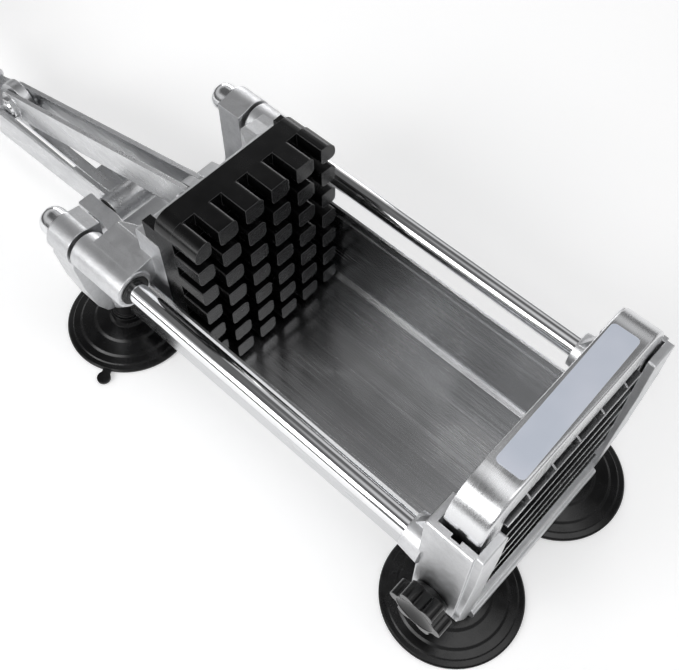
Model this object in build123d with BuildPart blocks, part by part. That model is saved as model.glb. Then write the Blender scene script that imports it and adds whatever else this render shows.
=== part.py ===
from build123d import *
import math
import os

# Lever-operated french fry cutter, millimetres, +Z up.
# Origin: on the ground at the centre between the four suction cups.
# +X points from the lever towards the blades, -Y is the side with the clamp knob.

os.makedirs("parts", exist_ok=True)

# ---------------------------------------------------------------- dimensions
PITCH = 15.5            # finger and blade pitch
COLS, ROWS = 6, 7
TOP_Z = 130.0           # top of the first finger row
TIP_X = -39.0           # finger tips, lever back
FINGER_L = 15.1
FINGER_W, FINGER_H = 10.5, 9.8
BLOCK_T = 10.9
BLOCK_HALF = 42.5
BLOCK_BOTTOM = 27.0

ROD_Y, ROD_Z, ROD_R = 56.1, 84.5, 5.0

FUL_X, FUL_Z = -156.0, 32.0     # lever fulcrum
JX, JZ = -249.5, 42.0           # lever to link pivot
ARM_IN, ARM_OUT, BOSS = 3.3, 5.9, 2.9   # link arm faces and lever boss, half widths
KX, KZ = -92.0, 86.0            # link to carriage pivot
LINK_L = math.hypot(KX - JX, KZ - JZ)
LINK_A = math.degrees(math.atan2(KZ - JZ, KX - JX))

CHEEK_IN, CHEEK_OUT = 15.1, 24.5   # cheeks beside the lever hub, inner and outer faces
HUB_HALF = 14.1         # half length of the hub tube

COL_X0, COL_X1 = 102.7, 128.5   # front frame, back and front
COL_IN, COL_OUT, COL_TOP = 47.0, 63.3, 120.6
PKT_X0, PKT_X1, PKT_OUT, PKT_Z = 106.3, 124.8, 59.5, 46.0

BAND_X0, BAND_X1, BAND_HALF, BAND_TOP, BAND_T = 107.1, 123.9, 58.2, 141.4, 1.5
BAND_R = 20.0           # corner radius of the blade hoop
WIN_TOP = 124.2         # top of the window in the face plate
BLADE_X1 = 125.7        # front edges of the blades, proud of the face plate

KNOB_X, KNOB_Z = 113.8, 57.8
CUP_X, CUP_Y, CUP_R = 113.0, 40.8, 34.3
REAR_X, REAR_Y = -113.5, 42.6


def save(block, name):
    """Name a finished piece and write it."""
    block.part.label = name
    export_step(block.part, "parts/" + name + ".step")


def soften(block, edges, radius):
    """Round a set of edges, stepping the radius down where an edge is too short."""
    for r in (radius, radius * 0.6, radius * 0.35):
        try:
            fillet(edges, r)
            return True
        except Exception:
            continue
    return False


# ================================================================ front frame
with BuildPart() as front_frame:
    # U-shaped front view: two columns joined by a low sill
    with BuildSketch(Plane.YZ.offset(COL_X0)) as ff_sk:
        with BuildLine():
            Polyline(
                (-COL_OUT, COL_TOP), (-COL_OUT, 50), (-50, 15), (50, 15), (COL_OUT, 50),
                (COL_OUT, COL_TOP), (COL_IN, COL_TOP), (COL_IN, 24.5), (-COL_IN, 24.5),
                (-COL_IN, COL_TOP), (-COL_OUT, COL_TOP),
            )
        make_face()
        low = [v for v in ff_sk.vertices() if v.Y < 51 and abs(v.X) > 47.5]
        fillet(low, 9)
    extrude(amount=COL_X1 - COL_X0)
    # front face leans back towards the foot
    with BuildSketch(Plane.XZ) as ff_lean:
        with BuildLine():
            Polyline((COL_X1, 96), (COL_X1 + 1, 96), (COL_X1 + 1, 10), (COL_X1 - 2.4, 10), (COL_X1, 96))
        make_face()
    extrude(amount=70, both=True, mode=Mode.SUBTRACT)
    # C-shaped channels for the blade cartridge
    with BuildSketch(Plane.XY.offset(PKT_Z)):
        for s in (-1, 1):
            with Locations(((PKT_X0 + PKT_X1) / 2, s * (46 + PKT_OUT) / 2)):
                Rectangle(PKT_X1 - PKT_X0, PKT_OUT - 46)
    extrude(amount=90, mode=Mode.SUBTRACT)
    # key groove in the middle of each channel
    with BuildSketch(Plane.XY.offset(PKT_Z + 6)):
        for s in (-1, 1):
            with Locations((115.4, s * (PKT_OUT + 0.5))):
                Rectangle(4.2, 2.2)
    extrude(amount=90, mode=Mode.SUBTRACT)
    # shallow relief on the outer corner of the front lips
    with BuildSketch(Plane.XY.offset(PKT_Z + 4)):
        for s in (-1, 1):
            with Locations((COL_X1, s * (COL_OUT + 0.2))):
                Rectangle(7.2, 4.4)
    extrude(amount=90, mode=Mode.SUBTRACT)
    # rod bosses behind the columns
    for s in (-1, 1):
        with BuildSketch(Plane.YZ.offset(COL_X0 + 1.5)):
            with Locations((s * ROD_Y, ROD_Z)):
                Circle(9.6)
        extrude(amount=-10.2, taper=6)
        with BuildSketch(Plane.XZ.offset(-s * (ROD_Y - 1.6) if s > 0 else ROD_Y - 1.6)):
            with BuildLine():
                Polyline((95.0, ROD_Z + 8), (COL_X0 + 0.5, ROD_Z + 8), (COL_X0 + 0.5, ROD_Z + 24), (95.0, ROD_Z + 8))
            make_face()
        extrude(amount=1.6, both=True)
    # rounded bead along the foot of the sill
    with BuildSketch(Plane.XZ):
        with Locations((125.0, 17.0)):
            RectangleRounded(6.8, 7.6, 2.4)
    extrude(amount=47, both=True)
    # foot bosses
    with BuildSketch(Plane.XY.offset(14.0)):
        with Locations((CUP_X, CUP_Y), (CUP_X, -CUP_Y)):
            Circle(9.5)
    extrude(amount=9)
    # rod sockets
    with BuildSketch(Plane.YZ.offset(90)):
        with Locations((-ROD_Y, ROD_Z), (ROD_Y, ROD_Z)):
            Circle(ROD_R)
    extrude(amount=104.5 - 90, mode=Mode.SUBTRACT)
    # foot stud holes
    with BuildSketch(Plane.XY.offset(13.0)):
        with Locations((CUP_X, CUP_Y), (CUP_X, -CUP_Y)):
            Circle(3.0)
    extrude(amount=9.0, mode=Mode.SUBTRACT)
    # sill screw holes from behind
    with BuildSketch(Plane.YZ.offset(COL_X0 - 1)):
        with Locations((-30, 18.6), (30, 18.6)):
            Circle(1.6)
    extrude(amount=8, mode=Mode.SUBTRACT)
    # clamp screw hole through the near column
    with BuildSketch(Plane.XZ.offset(50)):
        with Locations((KNOB_X, KNOB_Z)):
            Circle(3.05)
    extrude(amount=20, mode=Mode.SUBTRACT)
    # cast edges
    outer = [
        e for e in front_frame.edges().filter_by(Axis.X)
        if abs(abs(e.center().Y) - COL_OUT) < 0.05 and abs(e.center().Z - COL_TOP) < 0.05
    ]
    soften(front_frame, outer, 2.0)
    tall = [
        e for e in front_frame.edges().filter_by(Axis.Z)
        if abs(e.center().Y) > 61 and abs(e.center().X - COL_X0) < 0.1 and e.length > 12
    ]
    soften(front_frame, tall, 2.0)
    lip = [
        e for e in front_frame.edges()
        if abs(e.center().Z - COL_TOP) < 0.05 and e.center().X > PKT_X1 + 0.1
    ]
    soften(front_frame, lip, 0.9)
save(front_frame, "front_frame")

# ================================================================ rear bracket
RB_X0, RB_X1 = -123.0, -108.0
with BuildPart() as rear_bracket:
    with BuildSketch(Plane.YZ.offset(RB_X0)) as rb_sk:
        with BuildLine():
            Polyline(
                (-45, 92.6), (-45, 46), (45, 46), (45, 92.6), (56.1, 94.5), (63.2, 84), (65.4, 76),
                (63.5, 56), (60, 38), (55, 28), (31, 28), (27, 24), (-27, 24), (-31, 28),
                (-55, 28), (-60, 38), (-63.5, 56), (-65.4, 76), (-63.2, 84), (-56.1, 94.5), (-45, 92.6),
            )
        make_face()
        with Locations((-ROD_Y, ROD_Z), (ROD_Y, ROD_Z)):
            Circle(10.2)
        inner = [v for v in rb_sk.vertices() if abs(abs(v.X) - 45) < 0.1 and abs(v.Y - 46) < 0.1]
        fillet(inner, 8)
        foot = [v for v in rb_sk.vertices() if abs(abs(v.X) - 55) < 0.1 and abs(v.Y - 28) < 0.1]
        fillet(foot, 5)
    extrude(amount=RB_X1 - RB_X0)
    # sloping shelves behind the crossbeam, outside the cheeks
    for q in (-1, 1):
        with BuildSketch(Plane.XZ.offset(-q * 32.0)):
            with BuildLine():
                Polyline((RB_X0 + 1, 46), (-134.5, 41.5), (-134.5, 33), (RB_X0 + 1, 25), (RB_X0 + 1, 46))
            make_face()
        extrude(amount=12.0, both=True)
    # low shelf between the cheeks, ending just clear of the lever hub
    with BuildSketch(Plane.XZ):
        with BuildLine():
            Polyline(
                (RB_X0 + 1, 46), (-126.5, 46), (-126.5, 33.5), (-129, 31.2), (-146.0, 31.2), (-146.0, 25.5), (-130, 22.5),
                (RB_X0 + 1, 24), (RB_X0 + 1, 46),
            )
        make_face()
    extrude(amount=21.5, both=True)
    # front ledge of the crossbeam, where the tray ends
    with BuildSketch(Plane.XZ):
        with BuildLine():
            Polyline((RB_X1 - 0.5, 43), (-101.8, 39), (-101.8, 24), (RB_X1 - 0.5, 24), (RB_X1 - 0.5, 43))
        make_face()
    extrude(amount=33.0, both=True)
    # round foot pads
    with BuildSketch(Plane.XY.offset(28)):
        with Locations((REAR_X, REAR_Y), (REAR_X, -REAR_Y)):
            Circle(11)
    extrude(amount=10)
    # cheeks carrying the fulcrum, flaring out to the crossbeam
    for q in (-1, 1):
        with BuildSketch(Plane.XY.offset(24.5)) as ck_sk:
            with BuildLine():
                Polyline(
                    (-168.5, q * CHEEK_IN), (-168.5, q * CHEEK_OUT), (-148.5, q * CHEEK_OUT), (-120, q * 29.5),
                    (-120, q * 20.5), (-145.8, q * CHEEK_IN), (-168.5, q * CHEEK_IN),
                )
            make_face()
        extrude(amount=38.4 - 24.5)
    # bores
    with BuildSketch(Plane.YZ.offset(-140)):
        with Locations((-ROD_Y, ROD_Z), (ROD_Y, ROD_Z)):
            Circle(ROD_R)
    extrude(amount=50, mode=Mode.SUBTRACT)
    with BuildSketch(Plane.XZ):
        with Locations((FUL_X, FUL_Z)):
            Circle(4.0)
    extrude(amount=40, both=True, mode=Mode.SUBTRACT)
    with BuildSketch(Plane.XY.offset(20)):
        with Locations((REAR_X, REAR_Y), (REAR_X, -REAR_Y)):
            Circle(3.0)
    extrude(amount=20, mode=Mode.SUBTRACT)
    with BuildSketch(Plane.YZ.offset(-110)):
        with Locations((-30, 34), (30, 34)):
            Circle(1.6)
    extrude(amount=10, mode=Mode.SUBTRACT)
    round_tops = [
        e for e in rear_bracket.edges().filter_by(GeomType.CIRCLE)
        if abs(e.radius - 10.2) < 0.05
    ]
    soften(rear_bracket, round_tops, 1.8)
    cheek_ends = [
        e for e in rear_bracket.edges().filter_by(Axis.Z)
        if e.center().X < -168.4
    ]
    soften(rear_bracket, cheek_ends, 1.2)
save(rear_bracket, "rear_bracket")

# ================================================================ guide rods and cap nuts
for name, s in (("guide_rod_near", -1), ("guide_rod_far", 1)):
    with BuildPart() as rod:
        with BuildSketch(Plane.YZ.offset(RB_X0 + 0.5)):
            with Locations((s * ROD_Y, ROD_Z)):
                Circle(ROD_R)
        extrude(amount=104.4 - (RB_X0 + 0.5))
        with BuildSketch(Plane.YZ.offset(RB_X0 + 0.5)):
            with Locations((s * ROD_Y, ROD_Z)):
                Circle(4.0)
        extrude(amount=-10.0)
        ends = rod.faces().sort_by(Axis.X)
        chamfer(ends[0].edges(), 0.6)
    save(rod, name)

with BuildPart() as rod_cap_nuts:
    for s in (-1, 1):
        # washer face, neck and dome of an acorn nut, bored for the rod's thread
        with BuildSketch(Plane(origin=(0, s * ROD_Y, ROD_Z), x_dir=(1, 0, 0), z_dir=(0, -1, 0))) as cn:
            with BuildLine():
                Polyline((RB_X0, 4.0), (RB_X0, 8.9), (RB_X0 - 1.6, 8.9), (RB_X0 - 1.6, 7.6), (RB_X0 - 6.5, 7.6))
                Spline((RB_X0 - 6.5, 7.6), (RB_X0 - 13.2, 0), tangents=((-1, 0), (0, -1)))
                Polyline((RB_X0 - 13.2, 0), (RB_X0 - 10.6, 0), (RB_X0 - 10.6, 4.0), (RB_X0, 4.0))
            make_face()
        revolve(axis=Axis((0, s * ROD_Y, ROD_Z), (1, 0, 0)))
save(rod_cap_nuts, "rod_cap_nuts")

# ================================================================ tray
TR_X0, TR_X1 = -101.8, 102.5
with BuildPart() as tray:
    with BuildSketch(Plane.YZ.offset(TR_X0)) as tr_sk:
        with BuildLine() as tr_line:
            Polyline(
                (-47.3, 77.6), (-47.3, 72), (-46.7, 71), (-46.7, 24.8), (-43.7, 21.8), (43.7, 21.8),
                (46.7, 24.8), (46.7, 71), (47.3, 72), (47.3, 77.6),
            )
            offset(amount=1.2, side=Side.LEFT, kind=Kind.INTERSECTION)
        make_face()
    extrude(amount=TR_X1 - TR_X0)
    # upturned rear end, screwed to the crossbeam
    with BuildSketch(Plane.YZ.offset(TR_X0)):
        with Locations((0, 31.5)):
            Rectangle(88, 19)
    extrude(amount=1.2)
    # downturned front end, screwed to the sill
    with BuildSketch(Plane.YZ.offset(TR_X1 - 1.2)):
        with Locations((0, 18.2)):
            Rectangle(80, 8)
    extrude(amount=1.2)
    with BuildSketch(Plane.YZ.offset(TR_X0 - 1)):
        with Locations((-30, 34), (30, 34)):
            Circle(1.7)
    extrude(amount=4, mode=Mode.SUBTRACT)
    with BuildSketch(Plane.YZ.offset(TR_X1 - 3)):
        with Locations((-30, 18.6), (30, 18.6)):
            Circle(1.7)
    extrude(amount=4, mode=Mode.SUBTRACT)
save(tray, "tray")

with BuildPart() as tray_screws:
    # button heads inside the rear end
    with BuildSketch(Plane.YZ.offset(TR_X0 + 1.2)):
        with Locations((-30, 34), (30, 34)):
            Circle(3.2)
    extrude(amount=1.8, taper=18)
    with BuildSketch(Plane.YZ.offset(TR_X0 - 7)):
        with Locations((-30, 34), (30, 34)):
            Circle(1.55)
    extrude(amount=9)
    # button heads under the tray at the sill
    with BuildSketch(Plane.YZ.offset(TR_X1 - 1.2)):
        with Locations((-30, 18.6), (30, 18.6)):
            Circle(2.8)
    extrude(amount=-1.8, taper=18)
    with BuildSketch(Plane.YZ.offset(TR_X1 - 2)):
        with Locations((-30, 18.6), (30, 18.6)):
            Circle(1.55)
    extrude(amount=8)
save(tray_screws, "tray_screws")

# ================================================================ feet
feet = {
    "suction_cup_front_near": (CUP_X, -CUP_Y, 14.0),
    "suction_cup_front_far": (CUP_X, CUP_Y, 14.0),
    "suction_cup_rear_near": (REAR_X, -REAR_Y, 28.0),
    "suction_cup_rear_far": (REAR_X, REAR_Y, 28.0),
}
for name, (cx, cy, seat) in feet.items():
    with BuildPart() as cup:
        with BuildSketch(Plane(origin=(cx, cy, 0), x_dir=(1, 0, 0), z_dir=(0, -1, 0))) as cup_sk:
            with BuildLine():
                Polyline(
                    (0, 3.0), (12, 2.7), (24, 1.5), (30.5, 0.3), (31.0, 0), (33.9, 0), (34.3, 0.5), (34.3, 1.5),
                    (33.6, 2.2), (31.2, 2.7), (30.6, 3.2), (27.0, 3.7), (25.8, 4.6), (19.0, 5.6), (17.6, 6.6),
                    (10.4, 7.6), (9.2, 9.2), (8.7, 12.4), (3.0, 12.6), (3.0, 6.0), (0, 6.0), (0, 3.0),
                )
            make_face()
        revolve(axis=Axis((cx, cy, 0), (0, 0, 1)))
        # pull tab on the rim
        ang = {"suction_cup_rear_near": -62, "suction_cup_front_near": 118, "suction_cup_rear_far": 62, "suction_cup_front_far": -118}[name]
        ca, sa = math.cos(math.radians(ang)), math.sin(math.radians(ang))
        with BuildSketch(Plane(origin=(cx + 33.2 * ca, cy + 33.2 * sa, 0.6), x_dir=(ca, sa, 0), z_dir=(0, 0, 1))):
            with Locations((2.5, 0)):
                Rectangle(7, 4.4)
            with Locations((6.0, 0)):
                Circle(3.6)
        extrude(amount=1.5)
    save(cup, name)

with BuildPart() as foot_studs:
    for cx, cy, seat in feet.values():
        with BuildSketch(Plane.XY.offset(6.2)):
            with Locations((cx, cy)):
                Circle(2.95)
        extrude(amount=seat + (7.6 if seat < 20 else 10.0) - 6.2)
save(foot_studs, "foot_studs")

with BuildPart() as foot_collars:
    for cx, cy, seat in feet.values():
        with BuildSketch(Plane.XY.offset(12.7)):
            with Locations((cx, cy)):
                Circle(7.9 if seat > 20 else 8.2)
                Circle(3.0, mode=Mode.SUBTRACT)
        extrude(amount=1.2)
        if seat > 20:
            with BuildSketch(Plane.XY.offset(13.9)):
                with Locations((cx, cy)):
                    Circle(6.6)
                    Circle(3.0, mode=Mode.SUBTRACT)
            extrude(amount=seat - 13.9)
save(foot_collars, "foot_collars")

# ================================================================ fulcrum
with BuildPart() as fulcrum_bolt:
    with BuildSketch(Plane.XZ.offset(-CHEEK_OUT - 2.1)):
        with Locations((FUL_X, FUL_Z)):
            Circle(3.95)
    extrude(amount=2 * CHEEK_OUT + 2.3)
    with BuildSketch(Plane.XZ.offset(CHEEK_OUT + 0.1)):
        with Locations((FUL_X, FUL_Z)):
            RegularPolygon(6.6, 6)
    extrude(amount=4.2)
    hexes = fulcrum_bolt.faces().sort_by(Axis.Y)[0]
    chamfer(hexes.edges(), 0.6)
save(fulcrum_bolt, "fulcrum_bolt")

with BuildPart() as fulcrum_nut:
    with BuildSketch(Plane.XZ.offset(-CHEEK_OUT - 5.1)):
        with Locations((FUL_X, FUL_Z)):
            RegularPolygon(6.6, 6)
            Circle(4.0, mode=Mode.SUBTRACT)
    extrude(amount=5.0)
    chamfer(fulcrum_nut.faces().sort_by(Axis.Y)[-1].outer_wire().edges(), 0.6)
save(fulcrum_nut, "fulcrum_nut")

# ================================================================ carriage
with BuildPart() as carriage:
    # plate body with cored-out back
    with BuildSketch(Plane.YZ.offset(-81)) as ca_sk:
        with BuildLine():
            Polyline((-42.7, 110), (42.7, 110), (42.7, 62), (36, 34), (-36, 34), (-42.7, 62), (-42.7, 110))
        make_face()
    extrude(amount=16)
    with BuildSketch(Plane.YZ.offset(-81)):
        with Locations((-20, 76), (20, 76)):
            Rectangle(30, 52)
    extrude(amount=9.5, mode=Mode.SUBTRACT)
    # sleeves on the rods
    with BuildSketch(Plane.YZ.offset(-106.5)):
        with Locations((-ROD_Y, ROD_Z), (ROD_Y, ROD_Z)):
            Circle(9.8)
    extrude(amount=34.5)
    # webs from the body to the sleeves, clear above the tray walls
    for s in (-1, 1):
        with BuildSketch(Plane.YZ.offset(-100)):
            with BuildLine():
                Polyline(
                    (s * 40, 80.4), (s * 49.5, 80.4), (s * 56.1, 86), (s * 56.1, 94.2), (s * 50, 94.4), (s * 42, 95.5), (s * 40, 95.5), (s * 40, 80.4)
                )
            make_face()
        extrude(amount=27)
        # triangular side gusset from the body back to the end of the web
        with BuildSketch(Plane.XY.offset(80.4)):
            with BuildLine():
                Polyline((-82, s * 42.7), (-100, s * 42.7), (-100, s * 39), (-82, s * 30), (-82, s * 42.7))
            make_face()
        extrude(amount=15)
    # pivot lug
    with BuildSketch(Plane.XZ) as lug:
        with Locations((KX, KZ)):
            Circle(9.2)
        with BuildLine():
            Polyline((KX, KZ + 9.2), (-80, 100), (-70, 100), (-70, 68), (-80, 68), (KX, KZ - 9.2), (KX, KZ + 9.2))
        make_face()
    extrude(amount=BOSS, both=True)
    # centre rib that stiffens the lug root
    with BuildSketch(Plane.XZ):
        with BuildLine():
            Polyline((-80.5, 103), (-71, 103), (-71, 50), (-80.5, 50), (-80.5, 103))
        make_face()
    extrude(amount=5.2, both=True)
    # bores
    with BuildSketch(Plane.YZ.offset(-110)):
        with Locations((-ROD_Y, ROD_Z), (ROD_Y, ROD_Z)):
            Circle(7.5)
    extrude(amount=45, mode=Mode.SUBTRACT)
    with BuildSketch(Plane.XZ):
        with Locations((KX, KZ)):
            Circle(3.0)
    extrude(amount=10, both=True, mode=Mode.SUBTRACT)
    with BuildSketch(Plane.YZ.offset(-82)):
        with Locations((-26, 58), (26, 58), (-26, 94), (26, 94)):
            Circle(2.5)
    extrude(amount=20, mode=Mode.SUBTRACT)
    top_long = [
        e for e in carriage.edges().filter_by(Axis.Y)
        if abs(e.center().Z - 110) < 0.05
    ]
    soften(carriage, top_long, 1.5)
    sleeve_rims = [
        e for e in carriage.edges().filter_by(GeomType.CIRCLE)
        if abs(e.radius - 9.8) < 0.05 and (e.center().X < -106 or e.center().X > -72.5)
    ]
    soften(carriage, sleeve_rims, 0.9)
save(carriage, "carriage")

with BuildPart() as sleeve_bushings:
    for x0, x1 in ((-106.9, -94.0), (-86.0, -71.4)):
        with BuildSketch(Plane.YZ.offset(x0)):
            with Locations((-ROD_Y, ROD_Z), (ROD_Y, ROD_Z)):
                Circle(7.5)
                Circle(ROD_R + 0.06, mode=Mode.SUBTRACT)
        extrude(amount=x1 - x0)
save(sleeve_bushings, "sleeve_bushings")

# ---------------------------------------------------------------- pusher block
with BuildPart() as pusher_block:
    with BuildSketch(Plane.YZ.offset(TIP_X - FINGER_L - BLOCK_T)) as pb_sk:
        with Locations((0, (TOP_Z + BLOCK_BOTTOM) / 2)):
            Rectangle(2 * BLOCK_HALF, TOP_Z - BLOCK_BOTTOM)
        fillet([v for v in pb_sk.vertices() if v.Y > 100], 8)
        fillet([v for v in pb_sk.vertices() if v.Y < 40], 3)
    extrude(amount=BLOCK_T)
    # fingers, sharp on the upper near corner, rounded on the others
    for c in range(COLS):
        for r in range(ROWS):
            yc = (c - (COLS - 1) / 2) * PITCH
            y0, y1 = yc - FINGER_W / 2, yc + FINGER_W / 2
            if c == 0:
                y0 = -BLOCK_HALF
            if c == COLS - 1:
                y1 = BLOCK_HALF
            z1 = TOP_Z - r * PITCH
            z0 = z1 - FINGER_H
            corner = r == 0 and c in (0, COLS - 1)
            with BuildSketch(Plane.YZ.offset(TIP_X - FINGER_L - 0.5)) as fg:
                with Locations(((y0 + y1) / 2, (z0 + z1) / 2)):
                    Rectangle(y1 - y0, z1 - z0)
                up_near = fg.vertices().filter_by(lambda v: v.X < y0 + 0.01 and v.Y > z1 - 0.01)
                fillet(up_near, 6.4 if (corner and c == 0) else 0.8)
                up_far = fg.vertices().filter_by(lambda v: v.X > y1 - 0.01 and v.Y > z1 - 0.01)
                fillet(up_far, 6.4 if (corner and c == COLS - 1) else 2.6)
                lo = fg.vertices().filter_by(lambda v: v.Y < z0 + 0.01)
                fillet(lo, 2.4)
            extrude(amount=FINGER_L + 0.5)
    # ears that hook over the carriage top
    with BuildSketch(Plane.YZ.offset(-73.5)):
        with Locations((-40.0, 116.0), (40.0, 116.0)):
            Rectangle(5.0, 11.0)
    extrude(amount=9.0)
    # screw pilot holes in the back
    with BuildSketch(Plane.YZ.offset(-66)):
        with Locations((-26, 58), (26, 58), (-26, 94), (26, 94)):
            Circle(2.5)
    extrude(amount=8.5, mode=Mode.SUBTRACT)
save(pusher_block, "pusher_block")

with BuildPart() as pusher_screws:
    pts = [(-26, 58), (26, 58), (-26, 94), (26, 94)]
    with BuildSketch(Plane.YZ.offset(-71.5)):
        with Locations(*pts):
            Circle(2.45)
    extrude(amount=13.2)
    with BuildSketch(Plane.YZ.offset(-71.5)):
        with Locations(*pts):
            Circle(4.4)
    extrude(amount=-3.2)
    with BuildSketch(Plane.YZ.offset(-74.7)):
        with Locations(*pts):
            RegularPolygon(2.2, 6)
    extrude(amount=1.8, mode=Mode.SUBTRACT)
save(pusher_screws, "pusher_screws")

with BuildPart() as carriage_pivot_bolt:
    with BuildSketch(Plane.XZ.offset(-8.6)):
        with Locations((KX, KZ)):
            Circle(2.95)
    extrude(amount=8.6 + 6.3)
    with BuildSketch(Plane.XZ.offset(6.3)):
        with Locations((KX, KZ)):
            Circle(5.4)
    extrude(amount=2.2)
    chamfer(carriage_pivot_bolt.faces().sort_by(Axis.Y)[0].edges(), 0.7)
save(carriage_pivot_bolt, "carriage_pivot_bolt")

with BuildPart() as carriage_pivot_nut:
    with BuildSketch(Plane(origin=(KX, 0, KZ), x_dir=(1, 0, 0), z_dir=(0, 0, 1))) as kn:
        with BuildLine():
            Polyline((3.0, 6.3), (5.3, 6.3), (5.3, 7.6))
            Spline((5.3, 7.6), (0, 9.5), tangents=((0, 1), (-1, 0)))
            Polyline((0, 9.5), (0, 8.7), (3.0, 8.7), (3.0, 6.3))
        make_face()
    revolve(axis=Axis((KX, 0, KZ), (0, 1, 0)))
save(carriage_pivot_nut, "carriage_pivot_nut")

# ================================================================ link arms
LINK_PLANE = Plane(origin=((JX + KX) / 2, 0, (JZ + KZ) / 2), x_dir=(KX - JX, 0, KZ - JZ), z_dir=(0, -1, 0))
for name, s in (("link_arm_near", 1), ("link_arm_far", -1)):
    with BuildPart() as arm:
        with BuildSketch(LINK_PLANE.offset(s * ARM_IN)):
            SlotCenterToCenter(LINK_L, 17.8)
        extrude(amount=s * (ARM_OUT - ARM_IN))
        # long channel on the inner face, leaving raised rims
        with BuildSketch(LINK_PLANE.offset(s * ARM_IN)):
            SlotCenterToCenter(LINK_L - 34, 12.0)
        extrude(amount=s * 1.3, mode=Mode.SUBTRACT)
        # raised washer face at the lever end
        with BuildSketch(LINK_PLANE.offset(s * ARM_OUT)):
            with Locations((-LINK_L / 2, 0)):
                Circle(8.0)
        extrude(amount=s * 0.5)
        with BuildSketch(LINK_PLANE):
            with Locations((LINK_L / 2, 0)):
                Circle(3.0 + 0.03)
        extrude(amount=10, both=True, mode=Mode.SUBTRACT)
        with BuildSketch(LINK_PLANE):
            with Locations((-LINK_L / 2, 0)):
                Circle(3.5)
        extrude(amount=10, both=True, mode=Mode.SUBTRACT)
    save(arm, name)

with BuildPart() as link_stub_bolts:
    for s in (1, -1):
        with BuildSketch(LINK_PLANE.offset(s * (ARM_IN + 0.05))):
            with Locations((-LINK_L / 2, 0)):
                Circle(3.45)
        extrude(amount=s * 3.2)
        with BuildSketch(LINK_PLANE.offset(s * (ARM_OUT + 0.5))):
            with Locations((-LINK_L / 2, 0)):
                RegularPolygon(6.0, 6)
        extrude(amount=s * 1.9)
        with BuildSketch(LINK_PLANE.offset(s * (ARM_OUT + 2.4))):
            with Locations((-LINK_L / 2, 0)):
                Circle(4.4)
        extrude(amount=s * 1.1, taper=35)
save(link_stub_bolts, "link_stub_bolts")

# ================================================================ lever
RISE = 14.0             # handle rise, degrees
hd = (-math.cos(math.radians(RISE)), 0, math.sin(math.radians(RISE)))
SOCK = (-284.0, 0, 33.5)
with BuildPart() as lever:
    # two rails rising to the hub, outer faces drafted, dropping behind the link pivot
    for q in (-1, 1):
        sections = (
            (-159.0, 37.8, 23.6, 7.2, 11.2, 14.0), (-254.0, 38.6, 24.4, 10.0, 13.3, 16.3),
            (-266.0, 33.6, 20.4, 10.0, 12.2, 14.6),
        )
        for pair in zip(sections, sections[1:]):
            for x, top, bottom, inner_w, ridge, foot_w in pair:
                with BuildSketch(Plane.YZ.offset(x)):
                    with BuildLine():
                        Polyline(
                            (q * inner_w, top), (q * (ridge - 1.0), top), (q * (ridge + 0.1), top - 1.1),
                            (q * foot_w, bottom), (q * inner_w, bottom), (q * inner_w, top),
                        )
                    make_face()
            loft(ruled=True)
    # web closing the channel underneath
    with BuildSketch(Plane.XY.offset(24.4)):
        with BuildLine():
            Polyline((-160, 8.4), (-264, 11.4), (-264, -11.4), (-160, -8.4), (-160, 8.4))
        make_face()
    extrude(amount=2.0)
    # crosspiece behind the pivot, narrowing to the handle socket
    with BuildSketch(Plane.XY.offset(20.4)) as lv_top:
        with BuildLine():
            Polyline((-262, 14.8), (-266, 14.6), (-281, 10.4), (-300, 10.4), (-300, -10.4), (-281, -10.4), (-266, -14.6), (-262, -14.8), (-262, 14.8))
        make_face()
    extrude(amount=13.2, taper=5)
    # hub tube
    with BuildSketch(Plane.XZ):
        with Locations((FUL_X, FUL_Z)):
            Circle(8.7)
    extrude(amount=HUB_HALF, both=True)
    # centre tongue and boss at the link pivot
    with BuildSketch(Plane.XZ) as lv_boss:
        with Locations((JX, JZ)):
            Circle(12.4)
        with BuildLine():
            Polyline((JX, JZ + 12.4), (-262, 45.6), (-268, 40.0), (-279, 34.0), (-279, 22), (-262, 23), (-238, 25), (JX + 3, JZ - 12.0), (JX, JZ + 12.4))
        make_face()
    extrude(amount=BOSS, both=True)
    # handle socket
    with BuildSketch(Plane(origin=SOCK, x_dir=(0, 1, 0), z_dir=hd)):
        Circle(10.6)
    extrude(amount=46, taper=1.2)
    # bores
    with BuildSketch(Plane.XZ):
        with Locations((FUL_X, FUL_Z)):
            Circle(6.0)
    extrude(amount=30, both=True, mode=Mode.SUBTRACT)
    with BuildSketch(Plane.XZ):
        with Locations((JX, JZ)):
            Circle(4.2)
    extrude(amount=10, both=True, mode=Mode.SUBTRACT)
    with BuildSketch(Plane(origin=(SOCK[0] + 8 * hd[0], 0, SOCK[2] + 8 * hd[2]), x_dir=(0, 1, 0), z_dir=hd)):
        Circle(6.0)
    extrude(amount=60, mode=Mode.SUBTRACT)
    with BuildSketch(Plane.XZ):
        with Locations((SOCK[0] + 34 * hd[0], SOCK[2] + 34 * hd[2])):
            Circle(2.0)
    extrude(amount=20, both=True, mode=Mode.SUBTRACT)
    # relief slots on both sides of the middle, where the link arms and stub bolts pass in the swing
    for q in (-1, 1):
        with BuildSketch(Plane.XY.offset(20)):
            with Locations((-223.0, q * 6.4)):
                Rectangle(66.0, 6.8)
        extrude(amount=25, mode=Mode.SUBTRACT)

save(lever, "lever")

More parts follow.
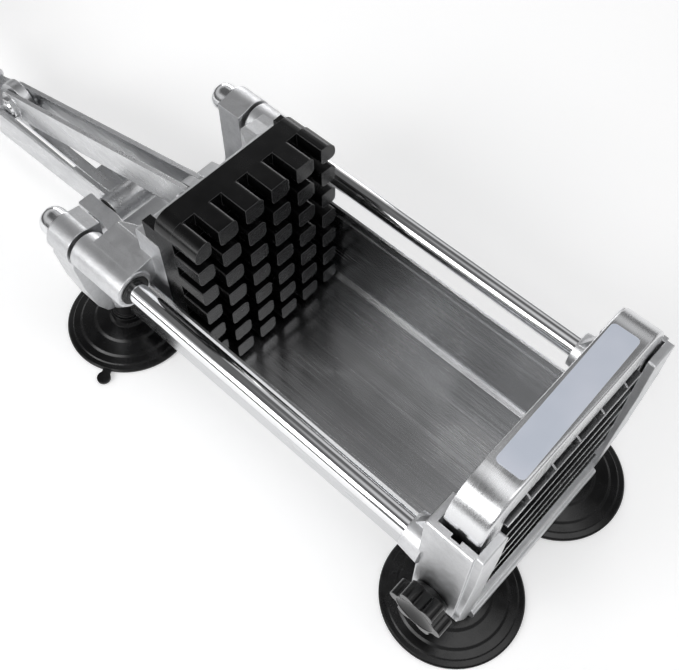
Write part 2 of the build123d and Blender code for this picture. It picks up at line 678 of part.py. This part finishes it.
with BuildPart() as hub_bushings:
    for s in (-1, 1):
        with BuildSketch(Plane.XZ.offset(-s * 3.0)):
            with Locations((FUL_X, FUL_Z)):
                Circle(6.0)
                Circle(4.0, mode=Mode.SUBTRACT)
        extrude(amount=-s * (HUB_HALF - 3.0))
        with BuildSketch(Plane.XZ.offset(-s * HUB_HALF)):
            with Locations((FUL_X, FUL_Z)):
                Circle(7.6)
                Circle(4.0, mode=Mode.SUBTRACT)
        extrude(amount=-s * 0.6)
save(hub_bushings, "hub_bushings")

BAR0, BAR1 = 9.0, 176.0
with BuildPart() as handle_bar:
    with BuildSketch(Plane(origin=(SOCK[0] + BAR0 * hd[0], 0, SOCK[2] + BAR0 * hd[2]), x_dir=(0, 1, 0), z_dir=hd)):
        Circle(5.95)
    extrude(amount=BAR1 - BAR0)
    with BuildSketch(Plane.XZ):
        with Locations((SOCK[0] + 34 * hd[0], SOCK[2] + 34 * hd[2])):
            Circle(2.0)
    extrude(amount=20, both=True, mode=Mode.SUBTRACT)
save(handle_bar, "handle_bar")

with BuildPart() as handle_cross_pin:
    with BuildSketch(Plane.XZ):
        with Locations((SOCK[0] + 34 * hd[0], SOCK[2] + 34 * hd[2])):
            Circle(1.95)
    extrude(amount=10.6, both=True)
    chamfer(handle_cross_pin.edges().filter_by(GeomType.CIRCLE), 0.4)
save(handle_cross_pin, "handle_cross_pin")

GRIP0, GRIP1 = 72.0, 178.0
grip_plane = Plane(origin=SOCK, x_dir=hd, z_dir=(0, -1, 0))
with BuildPart() as grip:
    with BuildSketch(grip_plane) as gr_sk:
        with BuildLine():
            Polyline((GRIP0, 6.0), (GRIP0, 10.5), (GRIP0 + 2, 12.6), (GRIP0 + 6, 12.6), (GRIP0 + 9, 11.2))
            Spline((GRIP0 + 9, 11.2), (GRIP0 + 40, 13.4), (GRIP0 + 75, 12.2), (GRIP1, 13.6))
            Polyline((GRIP1, 13.6), (GRIP1, 0), (BAR1 + 0.2, 0), (BAR1 + 0.2, 6.0), (GRIP0, 6.0))
        make_face()
    revolve(axis=Axis(SOCK, hd))
save(grip, "grip")

with BuildPart() as grip_cap:
    with BuildSketch(grip_plane) as gc_sk:
        with BuildLine():
            Polyline((GRIP1, 0), (GRIP1, 14.2), (GRIP1 + 3, 14.6))
            Spline((GRIP1 + 3, 14.6), (GRIP1 + 11, 0), tangents=((1, 0.1), (0, -1)))
            Line((GRIP1 + 11, 0), (GRIP1, 0))
        make_face()
    revolve(axis=Axis(SOCK, hd))
save(grip_cap, "grip_cap")

# ================================================================ blade cartridge
bh, bt, t = BAND_HALF, BAND_TOP, BAND_T
with BuildPart() as blade_band:
    # closed hoop of sheet: wide above, stepped in below the channel floor
    with BuildSketch(Plane.YZ.offset(BAND_X0)) as bb_sk:
        with BuildLine():
            Polyline(
                (-bh, bt), (-bh, PKT_Z + 0.6), (-46.2, PKT_Z + 0.6), (-46.2, 24.9), (46.2, 24.9),
                (46.2, PKT_Z + 0.6), (bh, PKT_Z + 0.6), (bh, bt), (-bh, bt),
            )
        make_face()
        fillet([v for v in bb_sk.vertices() if v.Y > 100], BAND_R)
    extrude(amount=BAND_X1 - BAND_X0)
    with BuildSketch(Plane.YZ.offset(BAND_X0 - 1)) as bi_sk:
        with BuildLine():
            Polyline(
                (-bh + t, bt - t), (-bh + t, PKT_Z + 0.6 + t), (-46.2 + t, PKT_Z + 0.6 + t), (-46.2 + t, 24.9 + t),
                (46.2 - t, 24.9 + t), (46.2 - t, PKT_Z + 0.6 + t), (bh - t, PKT_Z + 0.6 + t), (bh - t, bt - t), (-bh + t, bt - t),
            )
        make_face()
        fillet([v for v in bi_sk.vertices() if v.Y > 100], BAND_R - t)
    extrude(amount=BAND_X1 - BAND_X0 + 2, mode=Mode.SUBTRACT)
    # bent front edge of the arch, lightly broken back edge
    for x_edge, radius in ((BAND_X1, 1.3), (BAND_X0, 0.4)):
        rim = [
            e for e in blade_band.edges()
            if abs(e.center().X - x_edge) < 0.01 and (
                abs(abs(e.center().Y) - bh) < 0.01 or abs(e.center().Z - bt) < 0.01
                or (e.geom_type == GeomType.CIRCLE and abs(e.radius - BAND_R) < 0.05)
            )
        ]
        soften(blade_band, rim, radius)
save(blade_band, "blade_band")

VY = [(i - 2) * PITCH for i in range(5)]
HZ = [TOP_Z - PITCH * (i + 1) + (PITCH - FINGER_H) / 2 for i in range(6)]
with BuildPart() as blade_face_plate:
    with BuildSketch(Plane.YZ.offset(122.2)) as fp_sk:
        with BuildLine():
            Polyline(
                (-bh + t, bt - t), (-bh + t, PKT_Z + 0.6 + t), (-46.2 + t, PKT_Z + 0.6 + t), (-46.2 + t, 24.9 + t),
                (46.2 - t, 24.9 + t), (46.2 - t, PKT_Z + 0.6 + t), (bh - t, PKT_Z + 0.6 + t), (bh - t, bt - t), (-bh + t, bt - t),
            )
        make_face()
        fillet([v for v in fp_sk.vertices() if v.Y > 100], BAND_R - t)
    extrude(amount=1.5)
    with BuildSketch(Plane.YZ.offset(121)) as fw_sk:
        with Locations((0, (28.4 + WIN_TOP) / 2)):
            Rectangle(2 * 43.4, WIN_TOP - 28.4)
        fillet(fw_sk.vertices(), 3)
    extrude(amount=4, mode=Mode.SUBTRACT)
save(blade_face_plate, "blade_face_plate")

# the strips stand in front and are slotted from the back over the uprights, whose hooked tops show in the window
with BuildPart() as vertical_blades:
    with BuildSketch(Plane.XZ) as vb_sk:
        with BuildLine():
            Polyline(
                (117.5, BAND_TOP - t), (122.1, BAND_TOP - t), (122.1, WIN_TOP - 0.2), (123.9, WIN_TOP - 0.2),
                (BLADE_X1, WIN_TOP - 1.6), (121.6, HZ[0] + 0.5), (121.6, 26.4), (117.5, 26.4), (117.5, BAND_TOP - t),
            )
        make_face()
    blade0 = extrude(amount=0.4, both=True, mode=Mode.PRIVATE)
    with Locations(*[(0, y, 0) for y in VY]):
        add(blade0)
save(vertical_blades, "vertical_blades")

with BuildPart() as horizontal_blades:
    for z in HZ:
        half = BAND_HALF - t if z - 0.4 > PKT_Z + 0.6 + t else 44.7
        with BuildSketch(Plane.XY.offset(z - 0.4)):
            with Locations(((118.0 + 122.1) / 2, 0)):
                Rectangle(4.1, 2 * half)
            with Locations(((118.0 + BLADE_X1) / 2, 0)):
                Rectangle(BLADE_X1 - 118.0, 2 * 43.2)
            with Locations(*[(118.9, y) for y in VY]):
                Rectangle(5.8, 1.0, mode=Mode.SUBTRACT)
        extrude(amount=0.8)
save(horizontal_blades, "horizontal_blades")

with BuildPart() as cartridge_label:
    with BuildSketch(Plane.XY.offset(bt)):
        with Locations(Location((115.2, 1.4, 0), (0, 0, 1.4))):
            RectangleRounded(12.6, 75.4, 2.0)
    extrude(amount=0.25)
save(cartridge_label, "cartridge_label")

# ================================================================ cartridge clamp
with BuildPart() as clamp_pad:
    with BuildSketch(Plane.XZ.offset(BAND_HALF + 0.4)):
        with Locations((KNOB_X, KNOB_Z)):
            Circle(2.8)
    extrude(amount=60.0 - BAND_HALF - 0.4)
save(clamp_pad, "clamp_pad")

with BuildPart() as clamp_screw:
    with BuildSketch(Plane.XZ.offset(60.05)):
        with Locations((KNOB_X, KNOB_Z)):
            Circle(2.97)
    extrude(amount=71.6 - 60.05)
    chamfer(clamp_screw.faces().sort_by(Axis.Y)[-1].edges(), 0.4)
save(clamp_screw, "clamp_screw")

with BuildPart() as clamp_knob:
    # neck against the column, six-lobed head and dished face
    with BuildSketch(Plane.XZ.offset(63.7)):
        with Locations((KNOB_X, KNOB_Z)):
            Circle(8.2)
    extrude(amount=3.2, taper=-10)
    with BuildSketch(Plane.XZ.offset(66.8)) as kb_sk:
        with Locations((KNOB_X, KNOB_Z)):
            Circle(10.2)
            with PolarLocations(9.7, 6):
                Circle(3.5)
        fillet(kb_sk.vertices(), 0.8)
    extrude(amount=7.9)
    with BuildSketch(Plane(origin=(KNOB_X, -74.7, KNOB_Z), x_dir=(1, 0, 0), z_dir=(0, 0, 1))) as dish:
        with BuildLine():
            Polyline((0, 2.6), (0, -1), (9.6, -1), (9.6, 0.3))
            Spline((9.6, 0.3), (0, 2.6), tangents=((-1, 0.5), (-1, 0)))
        make_face()
    revolve(axis=Axis((KNOB_X, -74.7, KNOB_Z), (0, 1, 0)), mode=Mode.SUBTRACT)
    # screw socket
    with BuildSketch(Plane.XZ.offset(60)):
        with Locations((KNOB_X, KNOB_Z)):
            Circle(3.0)
    extrude(amount=11.7, mode=Mode.SUBTRACT)
save(clamp_knob, "clamp_knob")
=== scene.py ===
import math

import bmesh
import bpy
from mathutils import Matrix, Vector

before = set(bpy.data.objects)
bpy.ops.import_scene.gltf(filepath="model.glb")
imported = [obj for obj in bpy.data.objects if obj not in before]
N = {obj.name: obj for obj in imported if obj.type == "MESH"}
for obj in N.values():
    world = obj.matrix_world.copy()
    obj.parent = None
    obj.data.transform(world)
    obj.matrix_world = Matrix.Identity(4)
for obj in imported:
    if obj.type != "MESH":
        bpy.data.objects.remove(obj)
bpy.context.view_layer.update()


# ---------------------------------------------------------------- node helpers
class Mat:
    """A procedural material: short calls that add nodes and join them."""

    def __init__(self, name, **sockets):
        self.m = bpy.data.materials.new(name)
        self.m.use_nodes = True
        self.t = self.m.node_tree
        self.t.nodes.clear()
        self.out = self.t.nodes.new("ShaderNodeOutputMaterial")
        self.b = self.t.nodes.new("ShaderNodeBsdfPrincipled")
        self.t.links.new(self.b.outputs[0], self.out.inputs[0])
        for k, v in sockets.items():
            self.b.inputs[k.replace("_", " ")].default_value = v
        self.pos = self.node("ShaderNodeTexCoord").outputs["Object"]

    def node(self, kind, **props):
        n = self.t.nodes.new(kind)
        for k, v in props.items():
            setattr(n, k, v)
        return n

    def put(self, socket, value):
        if hasattr(value, "is_output"):
            self.t.links.new(value, socket)
        else:
            socket.default_value = value

    def scaled(self, x, y, z, src=None, rot=(0, 0, 0)):
        n = self.node("ShaderNodeMapping")
        self.put(n.inputs["Vector"], src or self.pos)
        n.inputs["Scale"].default_value = (x, y, z)
        n.inputs["Rotation"].default_value = rot
        return n.outputs[0]

    def noise(self, scale, detail=3.0, rough=0.55, src=None, dist=0.0):
        n = self.node("ShaderNodeTexNoise")
        self.put(n.inputs["Vector"], src or self.pos)
        n.inputs["Scale"].default_value = scale
        n.inputs["Detail"].default_value = detail
        n.inputs["Roughness"].default_value = rough
        n.inputs["Distortion"].default_value = dist
        return n.outputs[0]

    def voronoi(self, scale, feature="F1", src=None):
        n = self.node("ShaderNodeTexVoronoi", feature=feature)
        self.put(n.inputs["Vector"], src or self.pos)
        n.inputs["Scale"].default_value = scale
        return n.outputs[0]

    def range(self, src, a, b, c, d, smooth=False):
        n = self.node("ShaderNodeMapRange", interpolation_type="SMOOTHSTEP" if smooth else "LINEAR")
        self.put(n.inputs[0], src)
        for i, v in enumerate((a, b, c, d)):
            self.put(n.inputs[1 + i], v)
        return n.outputs[0]

    def math(self, op, a, b=0.0, clamp=False):
        n = self.node("ShaderNodeMath", operation=op, use_clamp=clamp)
        self.put(n.inputs[0], a)
        self.put(n.inputs[1], b)
        return n.outputs[0]

    def mix(self, fac, a, b, kind="RGBA", blend="MIX"):
        n = self.node("ShaderNodeMix", data_type=kind)
        if kind == "RGBA":
            n.blend_type = blend
            i, o = (6, 7), 2
        else:
            i, o = (2, 3), 0
        self.put(n.inputs[0], fac)
        for k, v in zip(i, (a, b)):
            if kind == "RGBA" and isinstance(v, tuple) and len(v) == 3:
                v = (*v, 1.0)
            self.put(n.inputs[k], v)
        return n.outputs[o]

    def xyz(self, src=None):
        n = self.node("ShaderNodeSeparateXYZ")
        self.put(n.inputs[0], src or self.pos)
        return n.outputs

    def edges(self, radius, lo=0.004, hi=0.10):
        """Bright where the surface turns sharply within radius: the mask that the callers use for painted edge
        highlights, and on the castings also for worn edges.
        """
        bev = self.node("ShaderNodeBevel", samples=4)
        bev.inputs["Radius"].default_value = radius
        geo = self.node("ShaderNodeNewGeometry")
        dot = self.node("ShaderNodeVectorMath", operation="DOT_PRODUCT")
        self.put(dot.inputs[0], bev.outputs[0])
        self.put(dot.inputs[1], geo.outputs["Normal"])
        return self.range(self.math("SUBTRACT", 1.0, dot.outputs["Value"]), lo, hi, 0.0, 1.0)

    def bumps(self, layers, round_edges=0.0):
        """layers: (height socket, strength, distance in m). round_edges softens the CAD edges in the shading."""
        normal = None
        if round_edges:
            bev = self.node("ShaderNodeBevel", samples=4)
            bev.inputs["Radius"].default_value = round_edges
            normal = bev.outputs[0]
        for height, strength, distance in layers:
            n = self.node("ShaderNodeBump")
            n.inputs["Strength"].default_value = strength
            n.inputs["Distance"].default_value = distance
            self.put(n.inputs["Height"], height)
            if normal is not None:
                self.put(n.inputs["Normal"], normal)
            normal = n.outputs[0]
        self.put(self.b.inputs["Normal"], normal)

    def color(self, v):
        self.put(self.b.inputs["Base Color"], v)

    def rough(self, v):
        self.put(self.b.inputs["Roughness"], v)


def cast(name, base, dark, rough_lo, rough_hi, grain=0.30, along=None, worn_edge_highlight_gain=0.5):
    """Blasted or tumbled cast aluminium."""
    m = Mat(name, Metallic=1.0)
    p = m.pos
    if along:
        p = m.scaled(*along)
    big = m.noise(38, 3, 0.5, p)
    mid = m.noise(260, 4, 0.6, p)
    fine = m.noise(1700, 3, 0.65)
    pits = m.voronoi(900)
    mott = m.range(m.math("ADD", m.math("MULTIPLY", big, 0.55), m.math("MULTIPLY", mid, 0.45)), 0.36, 0.64, 0.0, 1.0)
    col = m.mix(mott, dark, base)
    speck = m.range(fine, 0.34, 0.70, 0.0, 1.0)
    col = m.mix(m.math("MULTIPLY", speck, 0.22), col, tuple(min(1, c * 1.22) for c in base))
    # Sharp edges lightened towards near-white: partly real polished wear, partly a painted edge highlight.
    edge = m.edges(0.0009)
    col = m.mix(m.math("MULTIPLY", edge, worn_edge_highlight_gain), col, (0.86, 0.865, 0.875))
    m.color(col)
    r = m.range(mid, 0.3, 0.7, rough_hi, rough_lo)
    r = m.math("ADD", r, m.range(fine, 0.3, 0.7, 0.05, -0.05))
    r = m.mix(m.math("MULTIPLY", edge, 0.6), r, rough_lo * 0.7, "FLOAT")
    m.rough(r)
    m.bumps(
        [(mid, 0.10, 0.0006), (fine, grain, 0.00022), (m.range(pits, 0.0, 0.35, 0.0, 1.0), grain * 0.35, 0.00010)],
        round_edges=0.0006,
    )
    return m.m


M = {}
M["cast"] = cast("cast_aluminium_blasted", (0.66, 0.665, 0.675), (0.52, 0.525, 0.535), 0.34, 0.46)
M["cast_smooth"] = cast(
    "cast_aluminium_tumbled", (0.68, 0.685, 0.695), (0.50, 0.505, 0.515), 0.24, 0.38, grain=0.20, along=(0.25, 1.0, 1.0)
)


def chrome_rod(name):
    m = Mat(name, Metallic=1.0)
    lines = m.noise(1.0, 2, 0.5, m.scaled(30, 2600, 2600))
    haze = m.noise(60, 3, 0.5)
    m.color(m.mix(m.range(haze, 0.35, 0.65, 0, 1), (0.80, 0.805, 0.815), (0.87, 0.875, 0.885)))
    m.rough(m.math("ADD", m.range(lines, 0.3, 0.7, 0.05, 0.10), m.range(haze, 0.4, 0.7, 0.0, 0.03)))
    m.bumps([(lines, 0.03, 0.00005)])
    return m.m


M["rod"] = chrome_rod("ground_chrome_rod")


def brushed(name, base, rough_lo, rough_hi, axis, strength=0.08, spread=4.0, edge=True, vary=0.09, front=None):
    """Brushed or polished sheet. axis is the direction the brushing runs in."""
    m = Mat(name, Metallic=1.0)
    s = {"x": (14, 1500, 1500), "y": (1500, 14, 1500), "z": (1500, 1500, 14)}[axis]
    streak = m.noise(1.0, 4, 0.6, m.scaled(*s))
    wide = m.noise(1.0, 2, 0.5, m.scaled(*[v / spread / 9 for v in s]))
    smear = m.noise(26, 3, 0.5)
    t = m.math("ADD", m.math("MULTIPLY", streak, 0.6), m.math("MULTIPLY", wide, 0.4))
    col = m.mix(m.range(t, 0.35, 0.65, 0, 1), tuple(c * (1 - vary) for c in base), tuple(min(1, c * (1 + vary)) for c in base))
    # Painted shade and highlight: behind x = front the blade is darkened to a fifth of its colour as painted shade, and
    # its last half millimetre is near-white as a painted highlight.
    if front:
        near = m.range(m.xyz()[0], front - 0.0005, front - 0.0001, 0.0, 1.0)
        col = m.mix(near, tuple(c * 0.22 for c in base), (0.90, 0.905, 0.915))
    # Painted edge highlight: sharp edges of the sheet mixed towards near-white.
    if edge:
        e = m.edges(0.0006)
        col = m.mix(m.math("MULTIPLY", e, 0.6), col, (0.90, 0.905, 0.915))
    m.color(col)
    r = m.range(streak, 0.3, 0.7, rough_lo, rough_hi)
    m.rough(m.math("ADD", r, m.range(smear, 0.4, 0.7, 0.0, 0.06)))
    m.b.inputs["Anisotropic"].default_value = 0.45
    m.bumps([(streak, strength, 0.00004)], round_edges=0.0003)
    return m.m


M["band"] = brushed("stainless_band", (0.72, 0.725, 0.735), 0.20, 0.26, "y", strength=0.025, vary=0.03)
M["plate"] = brushed("stainless_plate", (0.66, 0.665, 0.675), 0.20, 0.30, "z", strength=0.04, vary=0.05)
M["tray"] = brushed("stainless_tray", (0.64, 0.645, 0.655), 0.17, 0.25, "x", strength=0.035, vary=0.05)
# Horizontal blades: painted shade on the blade body and a painted highlight on the front edge at x = 0.1257.
M["blade_h"] = brushed("blade_steel_across", (0.74, 0.745, 0.755), 0.14, 0.22, "y", front=0.1257)
M["blade_v"] = brushed("blade_steel_upright", (0.72, 0.725, 0.735), 0.14, 0.22, "z")


def plated(name, base, rough):
    m = Mat(name, Metallic=1.0)
    haze = m.noise(420, 3, 0.6)
    spots = m.noise(2200, 2, 0.5)
    e = m.edges(0.0004)
    col = m.mix(m.range(haze, 0.35, 0.65, 0, 1), tuple(c * 0.86 for c in base), base)
    # Painted edge highlight: sharp edges mixed towards light grey.
    m.color(m.mix(m.math("MULTIPLY", e, 0.5), col, (0.90, 0.90, 0.90)))
    m.rough(m.math("ADD", m.range(haze, 0.3, 0.7, rough * 0.8, rough * 1.35), m.range(spots, 0.4, 0.7, 0.0, 0.04)))
    m.bumps([(haze, 0.05, 0.00012), (spots, 0.04, 0.00005)], round_edges=0.00035)
    return m.m


M["zinc"] = plated("bright_zinc", (0.66, 0.665, 0.68), 0.24)
M["nut"] = plated("nut_chromed", (0.78, 0.785, 0.795), 0.12)


def plastic(name, base, rough_lo, rough_hi, grain, spec=0.4, edge=0.35, coat=0.0, radius=0.0005):
    m = Mat(name, Metallic=0.0, IOR=1.49)
    m.b.inputs["Specular IOR Level"].default_value = spec
    if coat:
        m.b.inputs["Coat Weight"].default_value = coat
        m.b.inputs["Coat Roughness"].default_value = 0.12
    fine = m.noise(2600, 2, 0.6)
    soft = m.noise(120, 3, 0.5)
    e = m.edges(radius)
    col = m.mix(m.range(soft, 0.35, 0.65, 0, 1), tuple(c * 0.75 for c in base), tuple(c * 1.2 for c in base))
    # Painted edge highlight: sharp edges of the black plastic mixed towards grey, by the edge amount.
    col = m.mix(m.math("MULTIPLY", e, edge), col, (0.10, 0.10, 0.102))
    m.color(col)
    r = m.math("ADD", m.range(soft, 0.3, 0.7, rough_lo, rough_hi), m.range(fine, 0.3, 0.7, -0.03, 0.03))
    m.rough(r)
    m.bumps([(fine, grain, 0.00006), (soft, 0.05, 0.0004)], round_edges=radius)
    return m.m


# edge=0.7 paints a strong edge highlight along the pusher's finger and slot edges.
M["pusher"] = plastic("moulded_black_plastic", (0.0026, 0.0026, 0.0028), 0.20, 0.27, 0.05, spec=0.38, edge=0.7)
M["knob"] = plastic("knob_black_plastic", (0.0028, 0.0028, 0.003), 0.15, 0.23, 0.04, spec=0.40)
M["bush"] = plastic("bushing_black_plastic", (0.006, 0.006, 0.0063), 0.30, 0.42, 0.10, spec=0.35)
M["collar"] = plastic("collar_black_plastic", (0.008, 0.008, 0.0083), 0.28, 0.40, 0.08, spec=0.38)
M["cup"] = plastic("suction_cup_rubber", (0.0028, 0.0028, 0.003), 0.20, 0.30, 0.05, spec=0.33, edge=0.15)
M["grip"] = plastic("grip_rubber", (0.016, 0.016, 0.017), 0.48, 0.62, 0.22, spec=0.35, edge=0.2)


def sticker(name):
    m = Mat(name, Metallic=0.0)
    m.b.inputs["Coat Weight"].default_value = 0.25
    m.b.inputs["Coat Roughness"].default_value = 0.22
    fib = m.noise(900, 3, 0.6)
    soft = m.noise(45, 2, 0.5)
    e = m.edges(0.0004)
    col = m.mix(m.range(soft, 0.35, 0.65, 0, 1), (0.52, 0.56, 0.64), (0.58, 0.61, 0.69))
    # Painted edge highlight: the label's edges mixed towards a lighter blue-grey.
    col = m.mix(m.math("MULTIPLY", e, 0.5), col, (0.70, 0.72, 0.76))
    m.color(col)
    m.rough(m.range(fib, 0.3, 0.7, 0.40, 0.52))
    m.bumps([(fib, 0.06, 0.00005), (soft, 0.06, 0.0004)])
    return m.m


M["sticker"] = sticker("blank_sticker_film")

FINISH = {
    "cast": ["front_frame", "rear_bracket", "carriage"],
    "cast_smooth": ["lever", "link_arm_near", "link_arm_far"],
    "rod": ["guide_rod_near", "guide_rod_far", "handle_bar"],
    "band": ["blade_band"],
    "plate": ["blade_face_plate"],
    "tray": ["tray"],
    "blade_h": ["horizontal_blades"],
    "blade_v": ["vertical_blades"],
    "zinc": ["tray_screws", "foot_studs", "fulcrum_bolt", "fulcrum_nut", "pusher_screws", "carriage_pivot_bolt",
             "handle_cross_pin", "clamp_pad", "clamp_screw"],
    "nut": ["rod_cap_nuts", "carriage_pivot_nut", "link_stub_bolts"],
    "pusher": ["pusher_block"],
    "knob": ["clamp_knob"],
    "bush": ["sleeve_bushings", "hub_bushings"],
    "collar": ["foot_collars"],
    "cup": ["suction_cup_front_near", "suction_cup_front_far", "suction_cup_rear_near", "suction_cup_rear_far"],
    "grip": ["grip", "grip_cap"],
    "sticker": ["cartridge_label"],
}
for key, names in FINISH.items():
    for n in names:
        for s in N[n].material_slots:
            s.material = M[key]


# ---------------------------------------------------------------- floor, light, camera
def floor():
    me = bpy.data.meshes.new("floor")
    bm = bmesh.new()
    bmesh.ops.create_grid(bm, x_segments=8, y_segments=8, size=6.0)
    bm.to_mesh(me)
    bm.free()
    o = bpy.data.objects.new("floor", me)
    o.location.z = -0.0002
    bpy.context.scene.collection.objects.link(o)
    m = Mat("pale_floor", Metallic=0.0)
    n = m.noise(6, 3, 0.5)
    m.color(m.mix(n, (0.86, 0.86, 0.86), (0.89, 0.89, 0.89)))
    m.rough(m.range(m.noise(40, 2, 0.5), 0.3, 0.7, 0.75, 0.85))
    m.b.inputs["Emission Color"].default_value = (1.0, 1.0, 1.0, 1.0)
    m.b.inputs["Emission Strength"].default_value = 0.30
    o.data.materials.append(m.m)


floor()


def area(name, loc, aim, size, power, sy=None, color=(1, 1, 1)):
    l = bpy.data.lights.new(name, "AREA")
    l.shape = "RECTANGLE"
    l.size, l.size_y = size, sy or size
    l.energy = power
    l.color = color
    o = bpy.data.objects.new(name, l)
    o.location = loc
    o.rotation_euler = (Vector(aim) - Vector(loc)).to_track_quat("-Z", "Y").to_euler()
    bpy.context.scene.collection.objects.link(o)
    return o


area("key", (-0.10, -0.98, 0.78), (0.0, 0.0, 0.05), 0.85, 6.0, 0.50)
area("edge", (-0.42, -1.00, 0.50), (0.0, 0.0, 0.08), 0.5, 1.8, 0.30)
area("top", (0.45, 0.10, 1.15), (0.0, 0.0, 0.05), 0.6, 3.2, 0.9)
area("back", (-0.95, 1.05, 0.42), (-0.05, 0.0, 0.05), 0.9, 4.0, 0.4)

world = bpy.data.worlds.new("studio")
bpy.context.scene.world = world
world.use_nodes = True
wt = world.node_tree
wt.nodes.clear()
wo = wt.nodes.new("ShaderNodeOutputWorld")
seen = wt.nodes.new("ShaderNodeBackground")
lit = wt.nodes.new("ShaderNodeBackground")
pick = wt.nodes.new("ShaderNodeMixShader")
path = wt.nodes.new("ShaderNodeLightPath")
coord = wt.nodes.new("ShaderNodeTexCoord")
sep = wt.nodes.new("ShaderNodeSeparateXYZ")
ramp = wt.nodes.new("ShaderNodeValToRGB")
wt.links.new(coord.outputs["Generated"], sep.inputs[0])
wt.links.new(sep.outputs["Z"], ramp.inputs[0])
el = ramp.color_ramp.elements
el[0].position, el[0].color = 0.0, (0.16, 0.16, 0.165, 1)
el[1].position, el[1].color = 1.0, (0.85, 0.85, 0.86, 1)
for at, v in ((0.22, 0.14), (0.40, 0.60), (0.62, 0.66), (0.76, 0.12), (0.92, 0.14)):
    e = el.new(at)
    e.color = (v, v, v * 1.01, 1)
wt.links.new(ramp.outputs[0], lit.inputs[0])
lit.inputs[1].default_value = 1.0
seen.inputs[0].default_value = (0.90, 0.90, 0.905, 1)
seen.inputs[1].default_value = 1.0
wt.links.new(path.outputs["Is Camera Ray"], pick.inputs[0])
wt.links.new(lit.outputs[0], pick.inputs[1])
wt.links.new(seen.outputs[0], pick.inputs[2])
wt.links.new(pick.outputs[0], wo.inputs[0])

# camera: rows of the view frame, right, down and forward
CAM_AT = (0.16321, -0.17413, 0.44881)
RIGHT, DOWN, AHEAD = (
    (0.733556, 0.679619, 0.003732),
    (0.580604, -0.623810, -0.523221),
    (-0.353264, 0.385979, -0.852189),
)
cam = bpy.data.cameras.new("camera")
cam.sensor_width = 36.0
cam.lens = 51.03
cam.shift_x, cam.shift_y = -0.0013, -0.0029
cam.clip_start, cam.clip_end = 0.01, 50
camera = bpy.data.objects.new("camera", cam)
bpy.context.scene.collection.objects.link(camera)
bpy.context.scene.camera = camera
camera.matrix_world = Matrix(
    [
        [RIGHT[0], -DOWN[0], -AHEAD[0], CAM_AT[0]],
        [RIGHT[1], -DOWN[1], -AHEAD[1], CAM_AT[1]],
        [RIGHT[2], -DOWN[2], -AHEAD[2], CAM_AT[2]],
        [0, 0, 0, 1],
    ]
)

vs = bpy.context.scene.view_settings
vs.view_transform = "Standard"
vs.look = "None"
